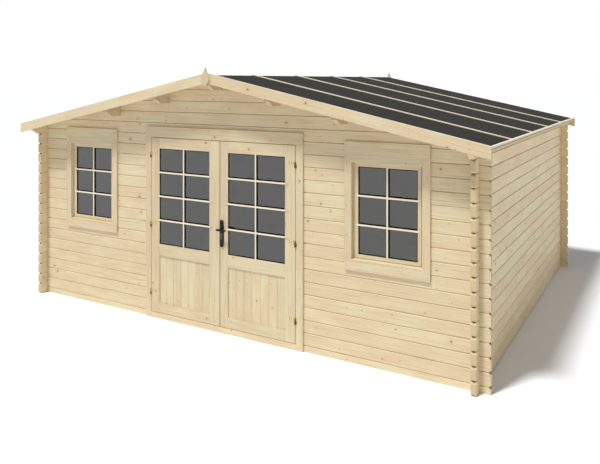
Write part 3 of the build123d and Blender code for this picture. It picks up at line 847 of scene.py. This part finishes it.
class CABIN_OT_windows(bpy.types.Operator):
    """Give both windows their casings, frames, sashes and glazing bars"""

    bl_idname = "cabin.windows"
    bl_label = "Windows"

    def execute(self, context):
        soft = context.scene.cabin_sizes.soft_edge
        for side, seed in (("left", 51.0), ("right", 55.0)):
            low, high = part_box(f"{side}_window_casing")
            middle, glass_reach, _, _ = pane(f"{side}_window")
            reach = (high.x - low.x) / 2 - WINDOW_SIDE
            foot = low.z + WINDOW_FOOT
            casing = framed_lay(beyond(middle, reach, foot, high.z - WINDOW_HEAD))
            boards = wood(f"{side}_casing_spruce", casing, shade=0.95, knotty=0.6, seed=seed)
            dress(boards, f"{side}_window_casing", edge=soft)
            sash = framed_lay(beyond(middle, glass_reach, foot, high.z - SASH_HEAD))
            timber = wood(f"{side}_sash_spruce", sash, shade=0.96, knotty=0.4, seed=seed + 1.0)
            dress(timber, f"{side}_window_frame", edge=soft)
            self.add_beads(context, side, timber)
            self.add_sill_strip(side, boards)
            upright = framed_lay(within(middle, BAR_HALF))
            name = f"{side}_window_bar_spruce"
            bars = wood(name, upright, shade=1.09, knotty=0.0, seed=seed + 2.0, pale=0.75)
            dress(bars, f"{side}_window_bars", edge=soft)
        return {"FINISHED"}

    def add_beads(self, context, side, timber):
        """A bead round the pane, mitred at its corners, outside and inside."""
        sizes = context.scene.cabin_sizes
        middle, reach, foot, head = pane(f"{side}_window")
        wide = sizes.bead_width
        outline = (middle - reach - wide, middle + reach + wide), (foot - wide, head + wide)
        bm = bmesh.new()
        for face, way in ((SASH_FACE, -1), (SASH_BACK, 1)):
            add_border(bm, *outline, (face + way * sizes.bead_rise, face), wide)
        new_piece(f"{side}_window_beads", bm, timber, "root", smooth=False)

    def add_sill_strip(self, side, timber):
        """A strip that slopes from the sash down to the casing, and sheds rain."""
        low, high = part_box(f"{side}_window_casing")
        play = 0.0005
        left, right = low.x + WINDOW_SIDE + play, high.x - WINDOW_SIDE - play
        foot = low.z + WINDOW_FOOT - play
        nose = low.y - 0.002
        thick, thin = 0.009, 0.003
        section = ((SASH_FACE, 0.0), (SASH_FACE, thick), (nose, thin), (nose, 0.0))
        bm = bmesh.new()
        ends = [[bm.verts.new((x, y, foot + rise)) for y, rise in section] for x in (left, right)]
        bm.faces.new(ends[0])
        bm.faces.new(ends[1][::-1])
        bridge(bm, ends)
        new_piece(f"{side}_window_sill_strip", bm, timber, "root", smooth=False)


class CABIN_OT_glazing(bpy.types.Operator):
    """Glaze the doors and windows"""

    bl_idname = "cabin.glazing"
    bl_label = "Glazing"

    def execute(self, context):
        colours, sizes = context.scene.cabin_colours, context.scene.cabin_sizes
        glass = self.glass(colours)
        seal = self.seal(colours)
        for side in SIDES:
            dress(glass, f"{side}_door_glass", f"{side}_window_glass")
            # Each pane gets a seal and dark strips that paint shade and reflection round it and behind its
            # bars.
            self.seal_and_shade_pane(sizes, seal, f"{side}_door", f"{side}_door", 4)
            self.seal_and_shade_pane(sizes, seal, f"{side}_window", "root", 3)
        return {"FINISHED"}

    def glass(self, colours):
        material, paint = new_material("pane_glass")
        x, y, z = point = paint.place()
        haze = paint.even(point, 6.0, 3.0)
        ripple = paint.noise(x * 2.0, y * 2.0, z * 1.2, 1.0)
        paint.surface(
            Base_Color=colours.glass,
            Roughness=haze * 0.03 + 0.005,
            Specular_Tint=(1.0, 0.985, 0.93),
            Transmission_Weight=1.0,
            IOR=1.96,
            Normal=paint.bump(ripple, 0.0004, 0.15),
        )
        return material

    def seal(self, colours):
        # One dark finish for the glazing seals and for the painted shade round the panes and behind the
        # bars.
        material, paint = new_material("glazing_seal_and_shade")
        dust = paint.even(paint.place(), 80.0, 3.0)
        paint.surface(
            Base_Color=paint.scaled(colours.seal, dust * 0.5 + 0.75),
            Roughness=dust * 0.2 + 0.75,
            Specular_IOR_Level=0.04,
        )
        return material

    def seal_and_shade_pane(self, sizes, material, unit, body, rows):
        """The seal on a pane, partly painted shade, a dark sheet on the sides of its opening as painted
        shade, and dark strips behind its bars as painted shade and reflection; on windows also a painted
        shadow gap round the bead.
        """
        middle, reach, foot, head = pane(unit)
        pane_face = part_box(f"{unit}_glass")[0].y
        bar_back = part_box(f"{unit}_bars")[1].y
        film, rebate_shade = 0.001, 0.0008
        across, up = (middle - reach, middle + reach), (foot, head)
        bm = bmesh.new()
        add_border(bm, across, up, (pane_face - film, pane_face), sizes.seal)
        # Painted shade: a dark sheet on the sides of the opening, from the bars back to the pane.
        add_border(bm, across, up, (bar_back + film, pane_face), rebate_shade)
        if "window" in unit:
            # Painted shadow gap: a dark strip round the outside of the window bead.
            shadow_gap, rise = 0.002, 0.0006
            rim = sizes.bead_width + shadow_gap
            outer = (middle - reach - rim, middle + reach + rim), (foot - rim, head + rim)
            add_border(bm, *outer, (SASH_FACE - rise, SASH_FACE), shadow_gap)
        self.add_bar_shade_strips(bm, sizes, across, up, rows, (bar_back, pane_face), film)
        new_piece(f"{unit}_seal", bm, material, body, smooth=False)

    def add_bar_shade_strips(self, bm, sizes, across, up, rows, depth, film):
        """Dark strips that fill the gap between the bars and the pane, with a wider foot on the pane:
        painted shade and reflection of the bars, mostly to the right of the upright bar and above the
        level bars.
        """
        middle = (across[0] + across[1]) / 2
        half = 0.0068
        beside, under = 0.7, 0.3
        strips = [((middle - half, middle + half), up, sizes.bar_shade_across, 0.0)]
        for row in range(1, rows):
            level = up[0] + (up[1] - up[0]) * row / rows
            strips.append((across, (level - half, level + half), 0.0, sizes.bar_shade_up))
        for x, z, wider, taller in strips:
            add_slab(bm, x, z, depth)
            foot_x = (x[0] - wider * beside, x[1] + wider)
            foot_z = (z[0] - taller * under, z[1] + taller)
            add_slab(bm, foot_x, foot_z, (depth[1] - film, depth[1]))


class CABIN_OT_hinges(bpy.types.Operator):
    """Give the doors their yellow hinges, with pin caps and screws"""

    bl_idname = "cabin.hinges"
    bl_label = "Hinges"

    def execute(self, context):
        colours, sizes = context.scene.cabin_colours, context.scene.cabin_sizes
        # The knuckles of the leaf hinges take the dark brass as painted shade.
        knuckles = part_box("right_door_hinges")[1].x - PIN_RADIUS * 1.5
        brass = metal("hinge_brass", colours.brass, 0.24, 0.9, past=knuckles, painted_shade=colours.dark_brass)
        dark = metal("hinge_screw_brass", colours.dark_brass, 0.3, 0.9)
        dress(brass, "left_door_hinges", "right_door_hinges", edge=sizes.hinge_round)
        dress(dark, "frame_hinges", edge=sizes.hinge_round)
        for side, sign in (("left", -1), ("right", 1)):
            self.add_screws(side, sign, dark, profile(SCREW_HEAD, sizes.screw_head))
        return {"FINISHED"}

    def add_screws(self, side, sign, material, screw):
        """Screws in both halves of a leaf's hinges, and caps on their pins."""
        low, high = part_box(f"{side}_door_hinges")
        pin, strap_end = high.x - PIN_RADIUS, low.x
        if sign < 0:
            pin, strap_end = low.x + PIN_RADIUS, high.x
        strap_thick, to_frame_screw = 0.003, 0.0078
        face = LEAF_FACE - strap_thick - SEAT
        pin_depth = LEAF_FACE - PIN_STANDOFF
        cap = [(0, 0.0032), (0.003, 0.0028), (0.0048, 0.0016), (0.0052, 0)]
        pattern = (0.16, 0.28), (0.16, 0.72), (0.46, 0.5), (0.76, 0.28), (0.76, 0.72)
        leaf_bm, frame_bm = bmesh.new(), bmesh.new()
        for height in (low.z, MIDDLE_HINGE, high.z - STRAP):
            for share, lift in pattern:
                spot = (strap_end + (pin - strap_end) * share, face, height + STRAP * lift)
                add_turned(leaf_bm, spot, (0, -1, 0), screw)
            spot = (pin + sign * to_frame_screw, face, height - KNUCKLE * 0.5)
            add_turned(frame_bm, spot, (0, -1, 0), screw)
            add_turned(leaf_bm, (pin, pin_depth, height + KNUCKLE), (0, 0, 1), cap)
            add_turned(frame_bm, (pin, pin_depth, height - KNUCKLE - SEAT), (0, 0, -1), cap)
        new_piece(f"{side}_leaf_hinge_screws", leaf_bm, material, f"{side}_door")
        new_piece(f"{side}_frame_hinge_screws", frame_bm, material, "root")


class CABIN_OT_handle(bpy.types.Operator):
    """Give the doors their black lever, plates, lock cylinder and plate screws"""

    bl_idname = "cabin.handle"
    bl_label = "Handle"

    def execute(self, context):
        colours, sizes = context.scene.cabin_colours, context.scene.cabin_sizes
        black = metal("black_coating", colours.black, 0.24, 0.0, gloss=0.3)
        steel = metal("lock_steel", colours.cylinder, 0.32, 0.8)
        dress(black, "door_handle", edge=sizes.lever_round, steps=3)
        dress(black, "handle_plates", edge=sizes.plate_round)
        middle = (PLATE_LOW.x + PLATE_HIGH.x) / 2
        cover, cylinder, key_slot = self.outlines()
        cover_thick, cylinder_thick, slot_thick = 0.0012, 0.0034, 0.0037
        screw = profile(SCREW_HEAD, sizes.screw_head)
        screw_inset = 0.014
        lock_bm, hole_bm, screw_bm = bmesh.new(), bmesh.new(), bmesh.new()
        for face, outward in ((PLATE_LOW.y, -1), (PLATE_HIGH.y, 1)):
            turn = Matrix.Rotation(math.radians(90), 4, "X")
            if outward > 0:
                turn = Matrix.Rotation(math.radians(180), 4, "Z") @ turn
            place = Matrix.Translation((middle, face, LOCK_HEIGHT)) @ turn
            add_plate(lock_bm, cover, cover_thick, place, 0.0006)
            add_plate(lock_bm, cylinder, cylinder_thick, place)
            add_plate(hole_bm, key_slot, slot_thick, place, 0.0001)
            for height in (PLATE_LOW.z + screw_inset, PLATE_HIGH.z - screw_inset):
                add_turned(screw_bm, (middle, face, height), (0, outward, 0), screw)
        new_piece("lock_cylinders", lock_bm, steel, "right_door", smooth=False)
        new_piece("lock_key_slots", hole_bm, black, "right_door", smooth=False)
        new_piece("handle_plate_screws", screw_bm, black, "right_door")
        return {"FINISHED"}

    def outlines(self):
        """The oval cover round the lock, the shape of its cylinder, and the slot for the key."""
        cover_radius, cover_rise = 0.0115, 0.019
        cover = []
        for turn, rise in ((0, cover_rise), (180, -cover_rise)):
            for step in range(9):
                angle = math.radians(turn + step * 22.5)
                cover.append((cover_radius * math.cos(angle), cover_radius * math.sin(angle) + rise))
        radius, first, sweep, steps = 0.0085, -55, 290, 12
        cylinder = []
        for step in range(steps + 1):
            angle = math.radians(first + step * sweep / steps)
            cylinder.append((radius * math.cos(angle), radius * math.sin(angle)))
        cylinder += [(-0.005, -0.019), (-0.0035, -0.0225), (0.0035, -0.0225), (0.005, -0.019)]
        half_wide, half_tall = 0.0011, 0.0048
        square = (-1, -1), (1, -1), (1, 1), (-1, 1)
        return cover, cylinder, [(x * half_wide, y * half_tall) for x, y in square]


class CABIN_OT_nails(bpy.types.Operator):
    """Nail the casings, gable boards, battens and eaves strips"""

    bl_idname = "cabin.nails"
    bl_label = "Nails"

    def execute(self, context):
        scene = context.scene
        steel = metal("nail_steel", scene.cabin_colours.steel, 0.35, 0.85)
        nail = profile(NAIL_HEAD, scene.cabin_sizes.nail_head)
        bm = bmesh.new()
        for sign in (-1, 1):
            self.nail_door_casing(bm, sign, nail)
            self.nail_gables(bm, sign, nail)
            self.nail_roof(bm, sign, nail)
        for side in SIDES:
            self.nail_window_casing(bm, side, nail)
        new_piece("casing_and_roof_nails", bm, steel, "root")
        return {"FINISHED"}

    def nail_door_casing(self, bm, sign, nail):
        side_inset, head_inset = 0.02, 0.03
        side = sign * (CASING_HIGH.x - side_inset)
        for height in (0.09, 0.48, 0.9, 1.32, 1.74):
            add_turned(bm, (side, LEAF_FACE, height), (0, -1, 0), nail)
        for x in (0.12, 0.5, 0.9):
            add_turned(bm, (sign * x, LEAF_FACE, CASING_HIGH.z - head_inset), (0, -1, 0), nail)

    def nail_window_casing(self, bm, side, nail):
        low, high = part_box(f"{side}_window_casing")
        inset, end = 0.022, 0.03
        heights = (low.z + end, low.z + 0.3, (low.z + high.z) / 2, high.z - 0.26, high.z - end)
        for x in (low.x + inset, high.x - inset):
            for height in heights:
                add_turned(bm, (x, low.y, height), (0, -1, 0), nail)

    def nail_gables(self, bm, sign, nail):
        places = (0.06, 0.66, 1.334, 2.0, 2.48)
        drops = (0.03, 0.07)
        for node, outward in (("front_fascia", -1), ("back_fascia", 1)):
            low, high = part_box(node)
            face = low.y if outward < 0 else high.y
            for x in places:
                for drop in drops:
                    height = high.z - x * ROOF_SLOPE - drop
                    add_turned(bm, (sign * x, face, height), (0, outward, 0), nail)

    def nail_roof(self, bm, sign, nail):
        low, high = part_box("roof_battens")
        up = Vector((sign * math.sin(ROOF_ANGLE), 0, math.cos(ROOF_ANGLE)))
        first, spacing = 0.08, 0.49
        for line in range(4):
            y = low.y + BATTEN_HALF + line * BATTEN_PITCH
            for step in range(6):
                x = first + step * spacing
                add_turned(bm, (sign * x, y, high.z - x * ROOF_SLOPE), up, nail)
        low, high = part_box("eaves_strips")
        inset, first, spacing = 0.02, 0.06, 0.434
        for step in range(11):
            y = low.y + first + step * spacing
            spot = (sign * (high.x - inset), y, high.z - inset * ROOF_SLOPE)
            add_turned(bm, spot, up, nail)


class CABIN_OT_stage(bpy.types.Operator):
    """Lay the pale floor and set up the light and the camera"""

    bl_idname = "cabin.stage"
    bl_label = "Stage"

    def execute(self, context):
        scene = context.scene
        self.lay_floor(scene)
        self.light(scene)
        self.aim(scene)
        scene.view_settings.view_transform = "Standard"
        return {"FINISHED"}

    def lay_floor(self, scene):
        bm = bmesh.new()
        bmesh.ops.create_circle(bm, cap_ends=True, segments=96, radius=FLOOR_RADIUS)
        mesh = bpy.data.meshes.new("studio_floor")
        bm.to_mesh(mesh)
        bm.free()
        floor = bpy.data.objects.new("studio_floor", mesh)
        scene.collection.objects.link(floor)
        material, paint = new_material("studio_floor")
        paint.surface(Base_Color=scene.cabin_colours.floor, Roughness=0.95, Specular_IOR_Level=0.0)
        mesh.materials.append(material)

    def light(self, scene):
        """Two lamps, and even light from all round that looks white where it is seen."""
        lights = scene.cabin_light
        self.hang(scene, "main_lamp", lights.sun, lights.softness, SUN_WAY)
        self.hang(scene, "fill_lamp", lights.fill, FILL_WIDTH, FILL_WAY)
        world = bpy.data.worlds.new("studio_light")
        scene.world = world
        world.use_nodes = True
        paint = Paint(world.node_tree)
        camera_ray = paint.node("ShaderNodeLightPath", {}, {}, "Is Camera Ray")
        seen = camera_ray + camera_ray.output("Is Glossy Ray") + camera_ray.output("Is Transmission Ray")
        strength = lights.sky + (seen > 0.5) * (1.0 - lights.sky)
        sky = paint.node("ShaderNodeBackground", {}, {"Color": (1, 1, 1, 1), "Strength": strength})
        paint.node("ShaderNodeOutputWorld", {}, {"Surface": sky})

    def hang(self, scene, name, energy, angle, way):
        """Add a lamp that shines one way everywhere."""
        lamp = bpy.data.lights.new(name, "SUN")
        lamp.energy = energy
        lamp.angle = angle
        holder = bpy.data.objects.new(name, lamp)
        holder.rotation_euler = Vector(way).to_track_quat("-Z", "Y").to_euler()
        scene.collection.objects.link(holder)

    def aim(self, scene):
        lens = bpy.data.cameras.new("camera")
        lens.sensor_width = FILM_WIDTH
        lens.lens = FOCAL_LENGTH
        lens.shift_y = LENS_SHIFT
        lens.clip_end = FAR_LIMIT
        camera = bpy.data.objects.new("camera", lens)
        camera.location = CAMERA_PLACE
        camera.rotation_euler = (math.radians(90), 0, CAMERA_TURN)
        scene.collection.objects.link(camera)
        scene.camera = camera


STEPS = (
    CABIN_OT_log_walls,
    CABIN_OT_roof_timber,
    CABIN_OT_roof_felt,
    CABIN_OT_floor,
    CABIN_OT_doorway,
    CABIN_OT_door_leaves,
    CABIN_OT_windows,
    CABIN_OT_glazing,
    CABIN_OT_hinges,
    CABIN_OT_handle,
    CABIN_OT_nails,
    CABIN_OT_stage,
)


class CABIN_PT_panel(bpy.types.Panel):
    """Sizes, colours and steps of the cabin"""

    bl_idname = "CABIN_PT_panel"
    bl_label = "Log Cabin"
    bl_space_type = "VIEW_3D"
    bl_region_type = "UI"
    bl_category = "Cabin"

    def draw(self, context):
        layout = self.layout
        for group in (context.scene.cabin_colours, context.scene.cabin_sizes, context.scene.cabin_light):
            box = layout.box()
            for name in group.__annotations__:
                box.prop(group, name)
        for step in STEPS:
            layout.operator(step.bl_idname)


GROUPS = {"cabin_colours": CabinColours, "cabin_sizes": CabinSizes, "cabin_light": CabinLight}


def register():
    for group in (*GROUPS.values(), *STEPS, CABIN_PT_panel):
        bpy.utils.register_class(group)
    for name, group in GROUPS.items():
        setattr(bpy.types.Scene, name, PointerProperty(type=group))


def unregister():
    for name in GROUPS:
        delattr(bpy.types.Scene, name)
    for group in (CABIN_PT_panel, *reversed(STEPS), *GROUPS.values()):
        bpy.utils.unregister_class(group)


def main():
    register()
    bpy.ops.cabin.log_walls()
    bpy.ops.cabin.roof_timber()
    bpy.ops.cabin.roof_felt()
    bpy.ops.cabin.floor()
    bpy.ops.cabin.doorway()
    bpy.ops.cabin.door_leaves()
    bpy.ops.cabin.windows()
    bpy.ops.cabin.glazing()
    bpy.ops.cabin.hinges()
    bpy.ops.cabin.handle()
    bpy.ops.cabin.nails()
    bpy.ops.cabin.stage()


if __name__ == "__main__":
    main()
